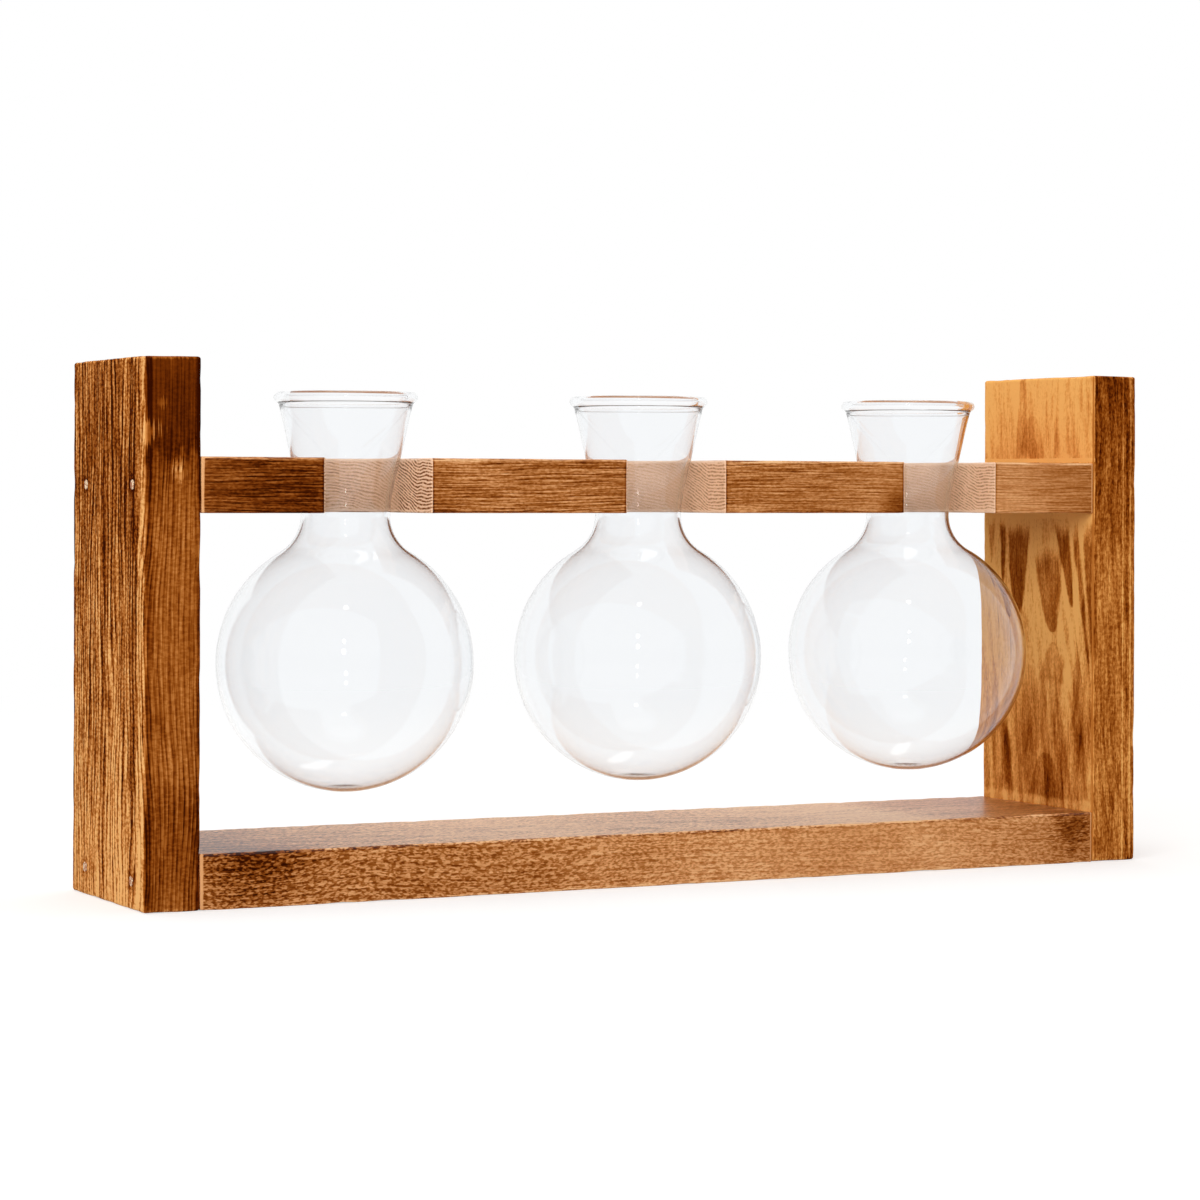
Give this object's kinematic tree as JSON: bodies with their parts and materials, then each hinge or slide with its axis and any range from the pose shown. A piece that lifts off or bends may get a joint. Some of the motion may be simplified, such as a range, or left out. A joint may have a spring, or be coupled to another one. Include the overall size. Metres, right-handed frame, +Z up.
{
  "type": "propagation vase",
  "caption": "Wooden stand with a slotted rail that holds round blown glass bulb vases by their flared necks, for rooting cuttings in water.",
  "frame": {"origin": "on the table, under the middle of the whole object's box; the vases' axes stand in line 0.4 mm in front of it", "axes": "+X along the stand towards its right upright, +Y from the slotted front to the back, +Z up"},
  "size_m": [0.323, 0.0738, 0.15],
  "materials": {
    "scorched_pine": "brushed and scorched brown, satin",
    "nail_steel": "dull",
    "clear_glass": "clear, fire-polished"
  },
  "bodies": {
    "stand": {"left_upright": "scorched_pine", "right_upright": "scorched_pine", "base_board": "scorched_pine", "cross_rail": "scorched_pine", "left_rail_nails": "nail_steel", "right_rail_nails": "nail_steel", "left_base_nails": "nail_steel", "right_base_nails": "nail_steel"},
    "left_vase": {"vase_left": "clear_glass"},
    "middle_vase": {"vase_middle": "clear_glass"},
    "right_vase": {"vase_right": "clear_glass"}
  },
  "joints": [
    {"name": "left_vase_slide", "type": "slide", "parent": "stand", "child": "left_vase", "axis": [0, -1, 0], "range_m": [0, 0.07]},
    {"name": "middle_vase_slide", "type": "slide", "parent": "stand", "child": "middle_vase", "axis": [0, -1, 0], "range_m": [0, 0.07]},
    {"name": "right_vase_slide", "type": "slide", "parent": "stand", "child": "right_vase", "axis": [0, -1, 0], "range_m": [0, 0.07]}
  ]
}
